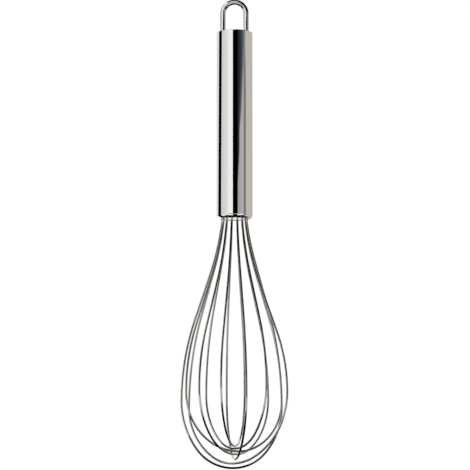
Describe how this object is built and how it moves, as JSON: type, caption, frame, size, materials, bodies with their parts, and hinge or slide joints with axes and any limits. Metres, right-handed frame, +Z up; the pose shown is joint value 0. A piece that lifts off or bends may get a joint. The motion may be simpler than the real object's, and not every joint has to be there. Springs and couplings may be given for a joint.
{
  "type": "balloon whisk",
  "caption": "Hand whisk of stainless steel: nested wire loops in a balloon, a round closed tube handle and a fixed loop to hang it from a hook.",
  "frame": {"origin": "middle of the underside of the hanging loop's crown, where a hook bears", "axes": "+Z up the handle, away from the balloon; +Y through the hanging loop's eye, away from the picture's camera; +X to the right in the picture"},
  "size_m": [0.0674, 0.0661, 0.2999],
  "materials": {
    "polished_steel": "mirror-polished stainless steel",
    "hanger_steel": "polished round stainless bar",
    "wire_steel": "bright drawn and electropolished stainless wire",
    "plug_steel": "turned stainless steel",
    "seal_resin": "poured epoxy resin"
  },
  "bodies": {
    "root": {"handle_tube": "polished_steel", "top_cap": "polished_steel", "hanging_loop": "hanger_steel", "neck_plug": "plug_steel", "resin_seal": "seal_resin", "whisk_wire_1": "wire_steel", "whisk_wire_2": "wire_steel", "whisk_wire_3": "wire_steel", "whisk_wire_4": "wire_steel", "whisk_wire_5": "wire_steel", "whisk_wire_6": "wire_steel", "whisk_wire_7": "wire_steel"}
  },
  "joints": []
}
